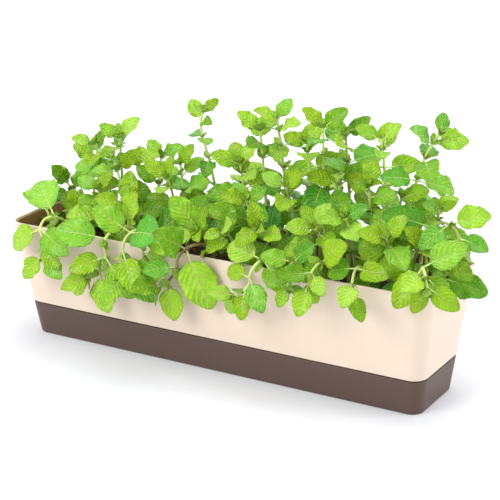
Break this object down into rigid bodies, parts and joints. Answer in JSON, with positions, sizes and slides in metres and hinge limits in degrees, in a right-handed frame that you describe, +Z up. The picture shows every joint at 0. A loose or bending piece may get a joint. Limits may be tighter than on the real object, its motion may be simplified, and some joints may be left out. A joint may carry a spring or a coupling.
{
  "type": "indoor herb planter",
  "caption": "Long window-sill planter with sloping walls and rounded corners: a water tray, a box, an inner pot that lifts out, soil, and leafy herbs that hang over the rim.",
  "frame": {"origin": "middle of the tray's underside", "axes": "+X along the planter, -Y towards the room, +Z up"},
  "size_m": [0.4519, 0.1815, 0.232],
  "materials": {
    "tray_plastic": "taupe brown, satin",
    "box_plastic": "cream, satin",
    "pot_plastic": "tan brown, satin",
    "soil": "rough, crumbly",
    "herb_leaves": "soft green, slightly glossy"
  },
  "bodies": {
    "tray": {"water_tray": "tray_plastic"},
    "box": {"outer_box": "box_plastic"},
    "planted_pot": {"inner_pot": "pot_plastic", "soil": "soil", "herb_left_1": "herb_leaves", "herb_left_2": "herb_leaves", "herb_left_3": "herb_leaves", "herb_left_4": "herb_leaves", "herb_left_5": "herb_leaves", "herb_left_6": "herb_leaves", "herb_left_7": "herb_leaves", "herb_drooping_1": "herb_leaves", "herb_drooping_2": "herb_leaves", "herb_drooping_3": "herb_leaves", "herb_drooping_4": "herb_leaves", "herb_drooping_5": "herb_leaves", "herb_drooping_6": "herb_leaves", "herb_drooping_7": "herb_leaves", "herb_drooping_8": "herb_leaves", "herb_drooping_9": "herb_leaves", "herb_drooping_10": "herb_leaves", "herb_drooping_11": "herb_leaves", "herb_drooping_12": "herb_leaves", "herb_middle_1": "herb_leaves", "herb_middle_2": "herb_leaves", "herb_middle_3": "herb_leaves", "herb_middle_4": "herb_leaves", "herb_middle_5": "herb_leaves", "herb_middle_6": "herb_leaves", "herb_middle_7": "herb_leaves", "herb_middle_8": "herb_leaves", "herb_middle_9": "herb_leaves", "herb_middle_10": "herb_leaves", "herb_middle_11": "herb_leaves", "herb_middle_12": "herb_leaves", "herb_middle_13": "herb_leaves", "herb_middle_14": "herb_leaves", "herb_tall_1": "herb_leaves", "herb_tall_2": "herb_leaves", "herb_tall_3": "herb_leaves", "herb_tall_4": "herb_leaves", "herb_tall_5": "herb_leaves", "herb_tall_6": "herb_leaves", "herb_tall_7": "herb_leaves", "herb_tall_8": "herb_leaves", "herb_tall_9": "herb_leaves", "herb_tall_10": "herb_leaves", "herb_tall_11": "herb_leaves", "herb_back_1": "herb_leaves", "herb_back_2": "herb_leaves", "herb_back_3": "herb_leaves", "herb_back_4": "herb_leaves", "herb_back_5": "herb_leaves", "herb_back_6": "herb_leaves", "herb_back_7": "herb_leaves"}
  },
  "joints": [
    {"name": "box_lift", "type": "slide", "parent": "tray", "child": "box", "axis": [0, 0, 1], "range_m": [0, 0.05]},
    {"name": "inner_pot_lift", "type": "slide", "parent": "box", "child": "planted_pot", "axis": [0, 0, 1], "range_m": [0, 0.12]}
  ]
}
